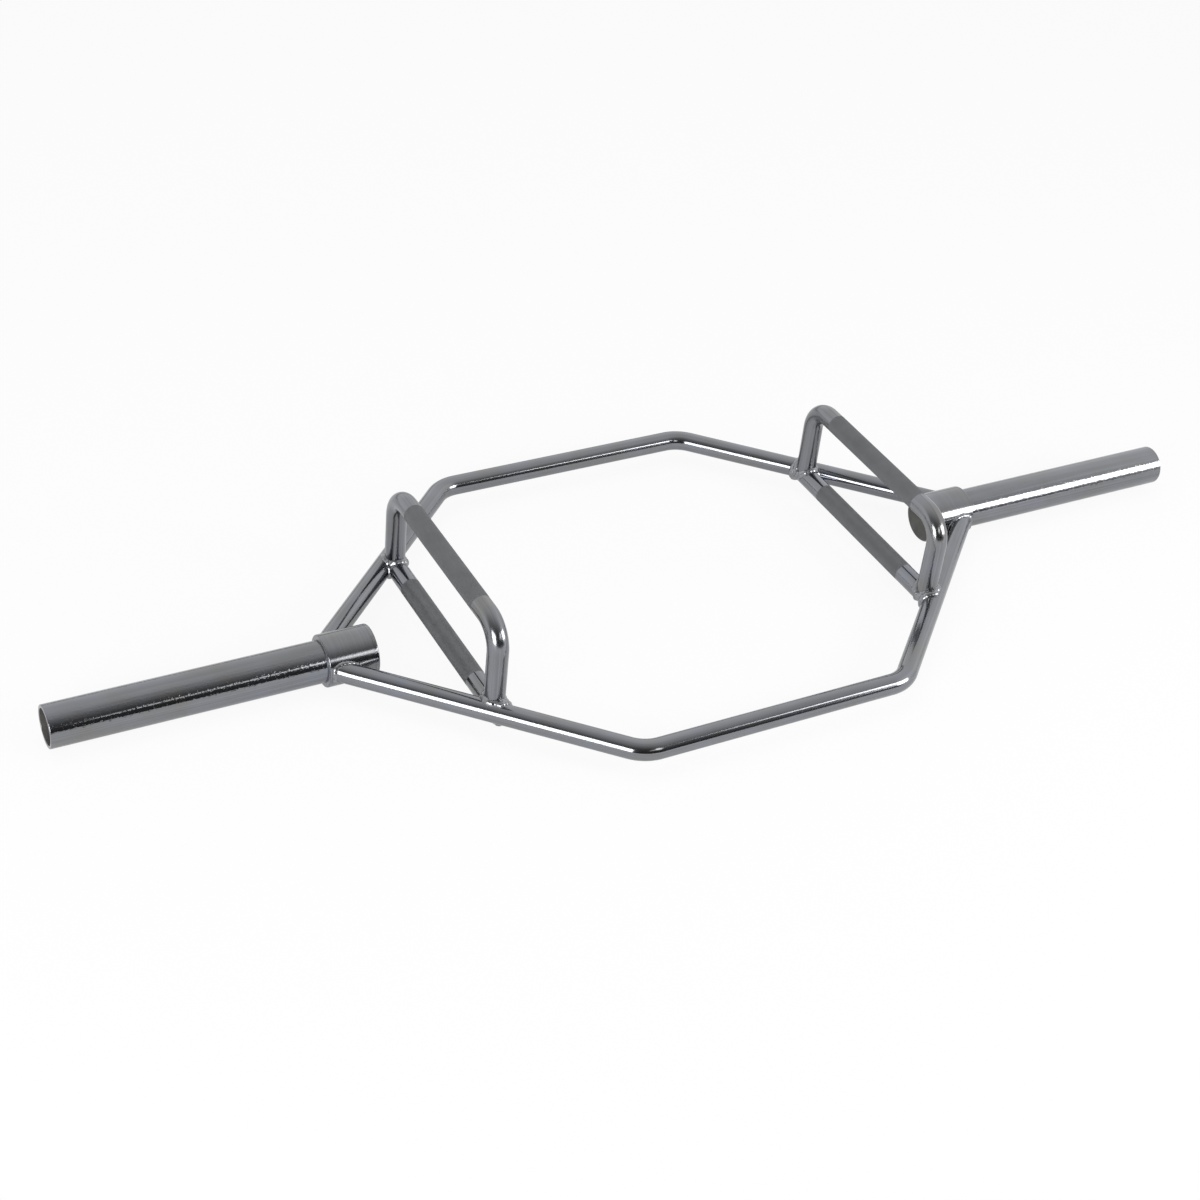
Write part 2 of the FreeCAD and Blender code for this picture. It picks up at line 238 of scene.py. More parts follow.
def round_bar(name, radius, start, end, sides, caps="NGON"):
    """A straight round bar between two points, as a new object."""
    deselect()
    run = end - start
    bpy.ops.mesh.primitive_cylinder_add(
        vertices=sides, radius=radius, depth=run.length, end_fill_type=caps,
        location=(start + end) / 2, rotation=run.to_track_quat("Z", "Y").to_euler())
    piece = bpy.context.object
    piece.name = piece.data.name = name
    bpy.ops.object.transform_apply(location=True, rotation=True, scale=True)
    return piece


def pick_end(piece, centre, radius):
    """Select the open ring of a tube at one end."""
    pick(piece, "VERT", lambda place: (place - centre).length < radius + NEAR)


def lengthen(*moves):
    """Extrude the selected ring by each move in turn."""
    for move in moves:
        bpy.ops.mesh.extrude_region_move(TRANSFORM_OT_translate={"value": move})


def round_rim(piece, sizes, place_x, radius, edge, steps):
    """Round the edge that runs about the sleeves' axis at one place and radius."""
    pick(piece, "EDGE", lambda place: abs(place.x - place_x) < NEAR
         and abs(off_axis(sizes, place) - radius) < RIM)
    bpy.ops.mesh.bevel(offset=edge, segments=steps, affect="EDGES")


def face_outwards(piece):
    """Turn all faces of a closed piece outwards, which the volume that they enclose confirms."""
    bpy.ops.mesh.select_all(action="SELECT")
    bpy.ops.mesh.normals_make_consistent(inside=False)
    if bmesh.from_edit_mesh(piece.data).calc_volume(signed=True) < 0:
        bpy.ops.mesh.flip_normals()


def close_up(piece):
    """Cap the open ends, merge doubles and turn all faces outwards."""
    bpy.ops.mesh.select_mode(type="VERT")
    bpy.ops.mesh.select_all(action="SELECT")
    bpy.ops.mesh.remove_doubles(threshold=DOUBLE)
    bpy.ops.mesh.fill_holes(sides=0)
    face_outwards(piece)
    bpy.ops.object.mode_set(mode="OBJECT")


def saddle_cut(piece, radius, start, end):
    """Cut the end of a piece to the round bar that it is welded to."""
    cutter = round_bar("saddle_cutter", radius, start, end, ROUND_SIDES)
    take(piece)
    saddle = piece.modifiers.new("saddle", "BOOLEAN")
    saddle.operation = "DIFFERENCE"
    saddle.solver = "EXACT"
    saddle.object = cutter
    bpy.ops.object.modifier_apply(modifier=saddle.name)
    take(cutter)
    bpy.ops.object.delete()


def whole(piece, axis):
    """Take out a half piece's middle cap and mirror it across the object's middle."""
    edit(piece)
    pick(piece, "FACE", lambda place: abs(place[axis]) < NEAR)
    bpy.ops.mesh.delete(type="FACE")
    bpy.ops.object.mode_set(mode="OBJECT")
    other = piece.modifiers.new("other_half", "MIRROR")
    other.use_axis = [index == axis for index in range(3)]
    other.merge_threshold = DOUBLE
    bpy.ops.object.modifier_apply(modifier=other.name)
    edit(piece)
    face_outwards(piece)
    bpy.ops.object.mode_set(mode="OBJECT")


def mirrored(piece, name, flip):
    """A copy of a piece on the other side, with its own mesh."""
    take(piece)
    bpy.ops.object.duplicate(linked=False)
    copy = bpy.context.object
    copy.name = copy.data.name = name
    bpy.ops.transform.resize(value=flip, center_override=(0, 0, 0))
    bpy.ops.object.transform_apply(location=True, rotation=True, scale=True)
    edit(copy)
    face_outwards(copy)
    bpy.ops.object.mode_set(mode="OBJECT")
    return copy


def coat(piece, finish, other, test):
    """Give a piece its finish, and another one to the faces that pass a test."""
    for kind in (finish, other):
        piece.data.materials.append(finish_of(kind))
    edit(piece)
    pick(piece, "FACE", test)
    piece.active_material_index = 1
    bpy.ops.object.material_slot_assign()
    bpy.ops.object.mode_set(mode="OBJECT")


def dress(piece, node):
    """Smooth a piece's round faces and set it in the frame."""
    edit(piece)
    if any(not edge.is_manifold for edge in bmesh.from_edit_mesh(piece.data).edges):
        raise RuntimeError(f"{piece.name} isn't closed")
    take(piece)
    bpy.ops.object.shade_smooth_by_angle(angle=SHARP_ANGLE)
    even = piece.modifiers.new("even_shading", "WEIGHTED_NORMAL")
    even.keep_sharp = True
    even.weight = SHADE_WEIGHT
    bpy.ops.object.modifier_apply(modifier=even.name)
    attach(piece, BODY)
    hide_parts(node)


def dress_pair(piece, other, flip, nodes):
    """Copy a piece to the other side and set both in the frame."""
    for made, node in zip((piece, mirrored(piece, other, flip)), nodes):
        dress(made, node)


def slope_of(sizes):
    """Angle of the frame's sloping runs and the place where their centre lines meet the sleeves' axis."""
    run = sizes.collar_outer - sizes.collar_edge - sizes.collar_gap - sizes.handle_x
    drop = sizes.post_y + sizes.post_inset - sizes.axis_height
    angle = math.atan2(drop, run) + math.asin(sizes.bar_radius / math.hypot(run, drop))
    end_x = sizes.handle_x + (sizes.post_y + sizes.post_inset) / math.tan(angle)
    return angle, end_x


def slope_line(sizes):
    """Ends of the right rear sloping run's centre line."""
    angle, end_x = slope_of(sizes)
    corner_x = end_x - sizes.half_depth / math.tan(angle)
    return Vector((corner_x, sizes.half_depth, sizes.axis_height)), on_axis(sizes, end_x)


# Noise textures give most of their values in this span
NOISE_SPAN = (0.3, 0.7)

# Sizes of the finishes' patterns, in millimetres
STAIN_SIZE = 45
WAVER_SIZE = 16
SPECK_SIZE = 2.6
KNURL_STAIN_SIZE = 22
WELD_STAIN_SIZE = 6
WELD_PIT_SIZE = 2
PLATE_STAIN_SIZE = 18
SCALE_STAIN_SIZE = 9

# A wave texture's rings are 2 pi times this many millimetres apart: wider than a tool leaves them, to show
RING_SIZE = 0.9
WAVE_FACTOR = 20

# Plating is a little warmer where it is thin and cooler where it is thick
WARM = Vector((1.03, 1.0, 0.96))
COOL = Vector((0.98, 0.99, 1.05))

# Plating's dull streaks against its bright ones, the depth of a streak against a speck, and where specks are
STREAK_HAZE = 1.5
STREAK_DEPTH = 0.4
SPECK_SPAN = (0.54, 0.8)


def add(tree, kind, inputs=None, stops=(), **settings):
    """A shader node with its settings made, its ramp's stops placed and its inputs set or linked."""
    made = tree.nodes.new(kind)
    for name, value in settings.items():
        setattr(made, name, value)
    for index, (position, colour) in enumerate(stops):
        held = made.color_ramp.elements
        stop = held[index] if index < len(held) else held.new(position)
        stop.position = position
        stop.color = colour
    for name, value in (inputs or {}).items():
        if isinstance(value, bpy.types.NodeSocket):
            tree.links.new(value, made.inputs[name])
        else:
            made.inputs[name].default_value = value
    return made


def emptied(owner):
    """The node tree of a material or a world, with nothing in it."""
    owner.use_nodes = True
    owner.node_tree.nodes.clear()
    return owner.node_tree


def new_material(name):
    """An empty material with its surface shader and its Object coordinates."""
    material = bpy.data.materials.new(name)
    tree = emptied(material)
    surface = add(tree, "ShaderNodeBsdfPrincipled", {"Metallic": 1.0})
    add(tree, "ShaderNodeOutputMaterial", {"Surface": surface.outputs["BSDF"]})
    place = add(tree, "ShaderNodeTexCoord").outputs["Object"]
    return material, tree, surface, place


def scale_for(size):
    """Texture scale at which a pattern has a size in millimetres."""
    return 1 / (size * MM)


def spread(span, start, end):
    """Inputs that spread a span of values from a start to an end."""
    return {"From Min": span[0], "From Max": span[1], "To Min": start, "To Max": end}


def shade(colour, factor):
    """A colour made lighter or darker."""
    return (*[min(part * factor, 1) for part in colour], 1)


def plated_steel(name, colour, polish, grain, ripple, pit):
    """Bright plating on drawn steel.

    Plating follows the steel below it, so its reflections waver softly, break into fine specks at their
    edges, and run in faint streaks along the way that the steel was drawn. Grain is the streaks' size in
    millimetres along each axis: small across the lines of the bar, and long along them. Drawn lines are
    finer than that, too fine to show. Ripple and pit are the heights of the wavering and of the specks.
    """
    material, tree, surface, place = new_material(name)
    drawn = add(tree, "ShaderNodeMapping", {"Vector": place, "Scale": [scale_for(step) for step in grain]})
    streak = add(tree, "ShaderNodeTexNoise", {
        "Vector": drawn.outputs["Vector"], "Scale": 1.0, "Detail": 3.0})
    cloud = add(tree, "ShaderNodeTexNoise", {"Vector": place, "Scale": scale_for(STAIN_SIZE), "Detail": 2.0})
    tones = shade(Vector(colour) * WARM, 0.94), shade(Vector(colour) * COOL, 1.05)
    tone = add(tree, "ShaderNodeValToRGB", {"Fac": cloud.outputs["Fac"]}, zip(NOISE_SPAN, tones))
    line_tone = add(tree, "ShaderNodeMapRange", {
        "Value": streak.outputs["Fac"], **spread(NOISE_SPAN, 0.86, 1.14)})
    lined = add(tree, "ShaderNodeVectorMath", {
        0: tone.outputs["Color"], "Scale": line_tone.outputs["Result"]}, operation="SCALE")
    tree.links.new(lined.outputs["Vector"], surface.inputs["Base Color"])
    haze = add(tree, "ShaderNodeMapRange", {
        "Value": streak.outputs["Fac"], **spread(NOISE_SPAN, polish * STREAK_HAZE, polish)})
    tree.links.new(haze.outputs["Result"], surface.inputs["Roughness"])
    waver = add(tree, "ShaderNodeTexNoise", {"Vector": place, "Scale": scale_for(WAVER_SIZE), "Detail": 1.0})
    dimple = add(tree, "ShaderNodeTexNoise", {
        "Vector": place, "Scale": scale_for(SPECK_SIZE), "Detail": 1.0})
    speck = add(tree, "ShaderNodeMapRange", {"Value": dimple.outputs["Fac"], **spread(SPECK_SPAN, 0.0, 1.0)})
    wave = add(tree, "ShaderNodeBump", {
        "Height": waver.outputs["Fac"], "Strength": 1.0, "Distance": ripple * MM})
    line = add(tree, "ShaderNodeBump", {
        "Height": streak.outputs["Fac"], "Strength": 1.0, "Distance": STREAK_DEPTH * pit * MM,
        "Normal": wave.outputs["Normal"]})
    dot = add(tree, "ShaderNodeBump", {
        "Height": speck.outputs["Result"], "Strength": 1.0, "Distance": pit * MM,
        "Normal": line.outputs["Normal"]})
    tree.links.new(dot.outputs["Normal"], surface.inputs["Normal"])
    return material


def plated_knurl(colour):
    """Plating over cut knurl: the points are rubbed bright, the grooves stay dull and a little darker."""
    material, tree, surface, place = new_material("plated_knurl_cut_in_steel")
    cloud = add(tree, "ShaderNodeTexNoise", {
        "Vector": place, "Scale": scale_for(KNURL_STAIN_SIZE), "Detail": 3.0})
    tones = shade(colour, 0.97), shade(colour, 1.03)
    tone = add(tree, "ShaderNodeValToRGB", {"Fac": cloud.outputs["Fac"]}, zip(NOISE_SPAN, tones))
    tree.links.new(tone.outputs["Color"], surface.inputs["Base Color"])
    rub = add(tree, "ShaderNodeMapRange", {"Value": cloud.outputs["Fac"], **spread(NOISE_SPAN, 0.62, 0.56)})
    tree.links.new(rub.outputs["Result"], surface.inputs["Roughness"])
    return material


def plated_weld(colour):
    """Plating over a weld bead: glossy on the ripples, sooty and rough between them."""
    material, tree, surface, place = new_material("plated_weld_bead")
    soot_span = (0.34, 0.58)
    cloud = add(tree, "ShaderNodeTexNoise", {
        "Vector": place, "Scale": scale_for(WELD_STAIN_SIZE), "Detail": 2.0})
    tones = shade(colour, 0.82), shade(colour, 1.1)
    tone = add(tree, "ShaderNodeValToRGB", {"Fac": cloud.outputs["Fac"]}, zip(soot_span, tones))
    tree.links.new(tone.outputs["Color"], surface.inputs["Base Color"])
    gloss = add(tree, "ShaderNodeMapRange", {"Value": cloud.outputs["Fac"], **spread(soot_span, 0.32, 0.2)})
    tree.links.new(gloss.outputs["Result"], surface.inputs["Roughness"])
    pit = add(tree, "ShaderNodeTexNoise", {
        "Vector": place, "Scale": scale_for(WELD_PIT_SIZE), "Detail": 1.0})
    bump = add(tree, "ShaderNodeBump", {
        "Height": pit.outputs["Fac"], "Strength": 1.0, "Distance": 0.03 * MM})
    tree.links.new(bump.outputs["Normal"], surface.inputs["Normal"])
    return material


def faced_plate_painted_dark(colour):
    """Faced steel under thin plating: dull, with the fine rings that the tool left, and a painted dark
    reflection in its dark colour.
    """
    material, tree, surface, place = new_material("faced_steel_thinly_plated")
    axis_height = bpy.context.scene.trap_bar_sizes.axis_height
    centred = add(tree, "ShaderNodeMapping", {"Vector": place, "Location": (0, 0, -axis_height)})
    ring = add(tree, "ShaderNodeTexWave", {
        "Vector": centred.outputs["Vector"], "Scale": 1 / (WAVE_FACTOR * RING_SIZE * MM), "Distortion": 0.6,
        "Detail": 2.0, "Detail Scale": 0.5}, wave_type="RINGS", rings_direction="X")
    cloud = add(tree, "ShaderNodeTexNoise", {
        "Vector": place, "Scale": scale_for(PLATE_STAIN_SIZE), "Detail": 4.0})
    tones = shade(colour, 0.85), shade(colour, 1.12)
    tone = add(tree, "ShaderNodeValToRGB", {"Fac": cloud.outputs["Fac"]}, zip(NOISE_SPAN, tones))
    tree.links.new(tone.outputs["Color"], surface.inputs["Base Color"])
    dull = add(tree, "ShaderNodeMapRange", {"Value": cloud.outputs["Fac"], **spread((0, 1), 0.5, 0.36)})
    tree.links.new(dull.outputs["Result"], surface.inputs["Roughness"])
    bump = add(tree, "ShaderNodeBump", {
        "Height": ring.outputs["Fac"], "Strength": 1.0, "Distance": 0.015 * MM})
    tree.links.new(bump.outputs["Normal"], surface.inputs["Normal"])
    return material


def scaled_bore(colour):
    """Unplated steel inside a tube: dull grey mill scale, which light from the open end still reaches."""
    material, tree, surface, place = new_material("mill_scale_in_tube_bore")
    surface.inputs["Metallic"].default_value = 0.5
    cloud = add(tree, "ShaderNodeTexNoise", {
        "Vector": place, "Scale": scale_for(SCALE_STAIN_SIZE), "Detail": 4.0})
    tones = shade(colour, 0.85), shade(colour, 1.1)
    tone = add(tree, "ShaderNodeValToRGB", {"Fac": cloud.outputs["Fac"]}, zip(NOISE_SPAN, tones))
    tree.links.new(tone.outputs["Color"], surface.inputs["Base Color"])
    dull = add(tree, "ShaderNodeMapRange", {"Value": cloud.outputs["Fac"], **spread((0, 1), 0.6, 0.45)})
    tree.links.new(dull.outputs["Result"], surface.inputs["Roughness"])
    return material


# Plated finishes: name, colour, roughness, streaks' size along X, Y and Z, heights of wavering and specks
PLATINGS = {
    "bar": ("bright_plated_drawn_bar", "bar", 0.1, (300, 300, 1.6), 0.05, 0.008),
    "bent_bar": ("bright_plated_bent_bar", "bar", 0.15, (1.6, 300, 300), 0.05, 0.01),
    "sleeve": ("bright_plated_tube", "sleeve", 0.075, (300, 300, 2.4), 0.05, 0.08),
    "collar": ("bright_plated_turned_collar", "sleeve", 0.12, (0.7, 300, 300), 0.05, 0.02),
    # The turned faces are truly satin and ringed, but their lighter colour is painted light.
    "face": ("satin_plated_turned_face", "face", 0.42, (300, 1.2, 1.2), 0.02, 0.02),
}
OTHER_FINISHES = {"knurl": plated_knurl, "weld": plated_weld, "plate": faced_plate_painted_dark, "bore": scaled_bore}
FINISHES = {}


def finish_of(kind):
    """One of the finishes, made when it is first asked for."""
    colours = bpy.context.scene.trap_bar_finishes
    if kind not in FINISHES:
        if kind in PLATINGS:
            name, colour, *look = PLATINGS[kind]
            FINISHES[kind] = plated_steel(name, getattr(colours, colour), *look)
        else:
            FINISHES[kind] = OTHER_FINISHES[kind](getattr(colours, kind))
    return FINISHES[kind]


class TRAPBAR_OT_frame_bars(bpy.types.Operator):
    """Bend the two bars of the hexagon and saddle-cut their ends to the collars"""

    bl_idname = "trap_bar.frame_bars"
    bl_label = "Frame Bars"

    def execute(self, context):
        sizes = context.scene.trap_bar_sizes
        angle, end_x = slope_of(sizes)
        corner, end = slope_line(sizes)
        trim = sizes.frame_bend * math.tan(angle / 2)
        leg = (end - corner).length - trim
        cut_length = 2 * sizes.collar_radius
        bend_start = Vector((corner.x - trim, corner.y, corner.z))
        bar = round_bar("rear_bar", sizes.bar_radius, bend_start * Vector((0, 1, 1)), bend_start,
                        BAR_SIDES, "NOTHING")
        edit(bar)
        pick_end(bar, bend_start, sizes.bar_radius)
        bpy.ops.mesh.spin(steps=FRAME_BEND_STEPS, angle=angle, axis=(0, 0, 1),
                          center=bend_start - Vector((0, sizes.frame_bend, 0)))
        heading = (end - corner).normalized()
        lengthen(heading * (leg - cut_length), heading * cut_length)
        close_up(bar)
        saddle_cut(bar, sizes.collar_radius, on_axis(sizes, sizes.plate_inner),
                   on_axis(sizes, end_x + sizes.collar_radius))
        whole(bar, 0)
        bar.data.materials.append(finish_of("bar"))
        dress_pair(bar, "front_bar", FLIP_Y, ("rear_frame_bar", "front_frame_bar"))
        return {"FINISHED"}


class TRAPBAR_OT_sleeves(bpy.types.Operator):
    """Turn the open sleeves that carry the plates"""

    bl_idname = "trap_bar.sleeves"
    bl_label = "Sleeves"

    def execute(self, context):
        sizes = context.scene.trap_bar_sizes
        shoulder, tip, edge = sizes.collar_outer, sizes.sleeve_tip, sizes.sleeve_edge
        bore = sizes.sleeve_radius - sizes.sleeve_wall
        sleeve = round_bar("right_plate_sleeve", sizes.sleeve_radius, on_axis(sizes, shoulder),
                           on_axis(sizes, tip), ROUND_SIDES)
        edit(sleeve)
        pick(sleeve, "FACE", lambda place: place.x > tip - NEAR)
        bpy.ops.mesh.inset(thickness=sizes.sleeve_wall)
        lengthen(Vector((sizes.collar_inner + sizes.sleeve_wall - tip, 0, 0)))
        pick(sleeve, "FACE", lambda place: abs(place.x - shoulder) < NEAR)
        bpy.ops.mesh.inset(thickness=sizes.spigot_step)
        lengthen(Vector((sizes.collar_inner - shoulder, 0, 0)))
        round_rim(sleeve, sizes, tip, sizes.sleeve_radius, edge, 4)
        round_rim(sleeve, sizes, tip, bore, edge * BORE_EDGE, 4)
        round_rim(sleeve, sizes, shoulder, sizes.sleeve_radius, edge * SHOULDER_EDGE, 3)
        close_up(sleeve)
        coat(sleeve, "sleeve", "bore", lambda place: off_axis(sizes, place) < bore
             and sizes.collar_inner + NEAR < place.x < tip - edge)
        dress_pair(sleeve, "left_plate_sleeve", FLIP_X, ("right_sleeve", "left_sleeve"))
        return {"FINISHED"}


class TRAPBAR_OT_collars(bpy.types.Operator):
    """Turn the collars that stop the plates"""

    bl_idname = "trap_bar.collars"
    bl_label = "Collars"

    def execute(self, context):
        sizes = context.scene.trap_bar_sizes
        inner, outer, edge = sizes.collar_inner, sizes.collar_outer, sizes.collar_edge
        collar = round_bar("right_stop_collar", sizes.collar_radius, on_axis(sizes, inner),
                           on_axis(sizes, outer), ROUND_SIDES)
        edit(collar)
        pick(collar, "FACE", lambda place: place.x > outer - NEAR)
        bpy.ops.mesh.inset(thickness=sizes.collar_radius - sizes.collar_bore)
        lengthen(Vector((inner - outer + edge, 0, 0)))
        round_rim(collar, sizes, outer, sizes.collar_radius, edge, 4)
        round_rim(collar, sizes, inner, sizes.collar_radius, edge * SEAM_EDGE, 2)
        close_up(collar)
        # The turned face's satin finish has a lighter colour, which is painted light.
        coat(collar, "collar", "face", lambda place: place.x > outer - NEAR)
        dress_pair(collar, "left_stop_collar", FLIP_X, ("right_collar", "left_collar"))
        return {"FINISHED"}


class TRAPBAR_OT_end_plates(bpy.types.Operator):
    """Make the discs that close the collars' inner ends"""

    bl_idname = "trap_bar.end_plates"
    bl_label = "End Plates"

    def execute(self, context):
        sizes = context.scene.trap_bar_sizes
        inner, outer, edge = sizes.plate_inner, sizes.collar_inner, sizes.plate_edge
        plate = round_bar("right_closing_disc", sizes.collar_radius, on_axis(sizes, inner),
                          on_axis(sizes, outer), ROUND_SIDES)
        edit(plate)
        round_rim(plate, sizes, inner, sizes.collar_radius, edge, 6)
        round_rim(plate, sizes, outer, sizes.collar_radius, edge * SEAM_EDGE, 2)
        close_up(plate)
        # The plate's face gets the dark finish, a painted dark reflection; its rounded rim keeps the bright
        # plating.
        coat(plate, "plate", "sleeve", lambda place: off_axis(sizes, place) > sizes.collar_radius - edge)
        dress_pair(plate, "left_closing_disc", FLIP_X, ("right_end_plate", "left_end_plate"))
        return {"FINISHED"}


def cut_knurl(handle, sizes, height, finish):
    """Press diamonds into the middle of a grip: every other point stands up, the rest go down."""
    rows = round(sizes.knurl_half / sizes.knurl_row)
    row = sizes.knurl_half / rows
    axis = Vector((sizes.handle_x, 0, height))

    def on_grip(place):
        return math.hypot(place.x - axis.x, place.z - axis.z) < GRIP_REACH * sizes.bar_radius

    def parity(place):
        turn = math.atan2(place.z - axis.z, place.x - axis.x) / (2 * math.pi) * GRIP_SIDES
        return (round(turn) + round(place.y / row)) % 2

    def on_knurl(place):
        return abs(place.y) < sizes.knurl_half - NEAR and on_grip(place)

    edit(handle)
    pick(handle, "EDGE", lambda place: abs(abs(place.y) - sizes.knurl_half / 2) < NEAR and on_grip(place))
    bpy.ops.mesh.subdivide(number_cuts=rows - 1)
    for odd, change in ((0, sizes.knurl_rise), (1, -sizes.knurl_cut)):
        pick(handle, "VERT", lambda place: abs(place.y) < sizes.knurl_half - row / 2
             and on_grip(place) and parity(place) == odd)
        scale = 1 + change / sizes.bar_radius
        bpy.ops.transform.resize(value=(scale, 1, scale), center_override=axis)
    pick(handle, "FACE", on_knurl)
    bpy.ops.mesh.quads_convert_to_tris(quad_method="SHORTEST_DIAGONAL")
    coat(handle, finish, "knurl", on_knurl)


class TRAPBAR_OT_low_handles(bpy.types.Operator):
    """Make the straight knurled handles in the hexagon's plane"""

    bl_idname = "trap_bar.low_handles"
    bl_label = "Low Handles"

    def execute(self, context):
        sizes = context.scene.trap_bar_sizes
        band = Vector((sizes.handle_x, sizes.knurl_half, sizes.axis_height))
        end_y = sizes.post_y + sizes.post_inset
        cut_length = 3 * sizes.bar_radius
        handle = round_bar("right_low_grip", sizes.bar_radius, band * Vector((1, 0, 1)), band,
                           GRIP_SIDES, "NOTHING")
        edit(handle)
        pick_end(handle, band, sizes.bar_radius)
        lengthen(Vector((0, end_y - cut_length - band.y, 0)), Vector((0, cut_length, 0)))
        close_up(handle)
        saddle_cut(handle, sizes.bar_radius + FIT, *slope_line(sizes))
        whole(handle, 1)
        cut_knurl(handle, sizes, sizes.axis_height, "bar")
        dress_pair(handle, "left_low_grip", FLIP_X, ("right_low_handle", "left_low_handle"))
        return {"FINISHED"}


class TRAPBAR_OT_high_handles(bpy.types.Operator):
    """Bend the raised knurled handles and saddle-cut their posts"""

    bl_idname = "trap_bar.high_handles"
    bl_label = "High Handles"

    def execute(self, context):
        sizes = context.scene.trap_bar_sizes
        bend_y = sizes.post_y - sizes.handle_bend
        end_y = sizes.post_y + sizes.post_inset
        band = Vector((sizes.handle_x, sizes.knurl_half, sizes.grip_height))
        leg = sizes.grip_height - sizes.handle_bend - sizes.axis_height
        cut_length = 2 * sizes.bar_radius
        handle = round_bar("right_high_grip", sizes.bar_radius, band * Vector((1, 0, 1)), band,
                           GRIP_SIDES, "NOTHING")
        edit(handle)
        pick_end(handle, band, sizes.bar_radius)
        lengthen(Vector((0, bend_y - band.y, 0)))
        bpy.ops.mesh.spin(steps=HANDLE_BEND_STEPS, angle=math.pi / 2, axis=(1, 0, 0),
                          center=(band.x, bend_y, sizes.grip_height - sizes.handle_bend))
        lengthen(Vector((0, 0, cut_length - leg)), Vector((0, 0, -cut_length)))
        close_up(handle)
        saddle_cut(handle, sizes.bar_radius + FIT, Vector((band.x, bend_y, sizes.axis_height)),
                   Vector((band.x, end_y, sizes.axis_height)))
        saddle_cut(handle, sizes.bar_radius + 2 * FIT, *slope_line(sizes))
        whole(handle, 1)
        cut_knurl(handle, sizes, sizes.grip_height, "bent_bar")
        dress_pair(handle, "left_high_grip", FLIP_X, ("right_high_handle", "left_high_handle"))
        return {"FINISHED"}


def first_touch(foot, heading, host, lift):
    """How far a line runs before it comes within a bead's lift of a round bar, or None if it misses."""
    start, end, radius = host
    axis = (end - start).normalized()
    across = heading - heading.dot(axis) * axis
    gap = (foot - start) - (foot - start).dot(axis) * axis
    root = across.dot(gap) ** 2 - across.length_squared * (gap.length_squared - (radius + lift) ** 2)
    if root < -GRAZE ** 2:
        return None
    return (-across.dot(gap) - math.sqrt(max(root, 0))) / across.length_squared


def joint_line(start, end, radius, hosts, lift):
    """Closed line round a bar's end where its surface first touches the bars that it is welded to."""
    heading = (end - start).normalized()
    side = heading.orthogonal().normalized()
    other = heading.cross(side)
    points = []
    for step in range(JOINT_STEPS):
        turn = 2 * math.pi * step / JOINT_STEPS
        foot = start + (radius + lift) * (math.cos(turn) * side + math.sin(turn) * other)
        touches = [first_touch(foot, heading, host, lift) for host in hosts]
        points.append(foot + heading * min(touch for touch in touches if touch is not None))
    return points


def evenly(points, spacing):
    """Points at an even spacing along a closed line."""
    ends = points[1:] + points[:1]
    total = sum((end - start).length for start, end in zip(points, ends))
    count = round(total / spacing)
    spaced, walked = [], 0.0
    for start, end in zip(points, ends):
        step = (end - start).length
        while len(spaced) < count and len(spaced) * total / count < walked + step:
            spaced.append(start.lerp(end, (len(spaced) * total / count - walked) / step))
        walked += step
    return spaced


def lay_bead(name, points, sizes, radius, seed, flip):
    """Lay a rippled bead along a joint: a welder's pools overlap and vary, so width and place vary too."""
    deselect()
    path = bpy.data.curves.new(name, "CURVE")
    path.dimensions = "3D"
    path.bevel_depth = radius
    path.bevel_resolution = 5
    line = path.splines.new("POLY")
    places = evenly(points, sizes.ripple_pitch / BEAD_POINTS_PER_RIPPLE)
    line.points.add(len(places) - 1)
    for index, (point, place) in enumerate(zip(line.points, places)):
        swell = noise.noise(place / SWELL_SIZE + Vector((seed, 0, 0)))
        wander = noise.noise_vector(place / WANDER_SIZE + Vector((0, seed, 0)))
        ripple = abs(math.sin(math.pi * (index / BEAD_POINTS_PER_RIPPLE + RIPPLE_DRIFT * swell)))
        point.co = (*((place + wander * WANDER_MM * MM) * flip), 1)
        point.radius = BEAD_LEAST + BEAD_RIPPLE * ripple + BEAD_SWELL * swell
    line.use_cyclic_u = True
    bead = bpy.data.objects.new(name, path)
    bpy.context.scene.collection.objects.link(bead)
    take(bead)
    bpy.ops.object.convert(target="MESH")
    bead = bpy.context.object
    bead.data.name = name
    texture = bpy.data.textures.new(name, "CLOUDS")
    texture.noise_scale = LUMP_SIZE
    lumps = bead.modifiers.new("lumps", "DISPLACE")
    lumps.texture = texture
    lumps.texture_coords = "LOCAL"
    lumps.strength = LUMP_SHARE * radius
    bpy.ops.object.modifier_apply(modifier=lumps.name)
    edit(bead)
    bpy.ops.mesh.select_all(action="SELECT")
    bpy.ops.mesh.remove_doubles(threshold=DOUBLE)
    face_outwards(bead)
    bpy.ops.object.mode_set(mode="OBJECT")
    bead.data.materials.append(finish_of("weld"))
    return bead


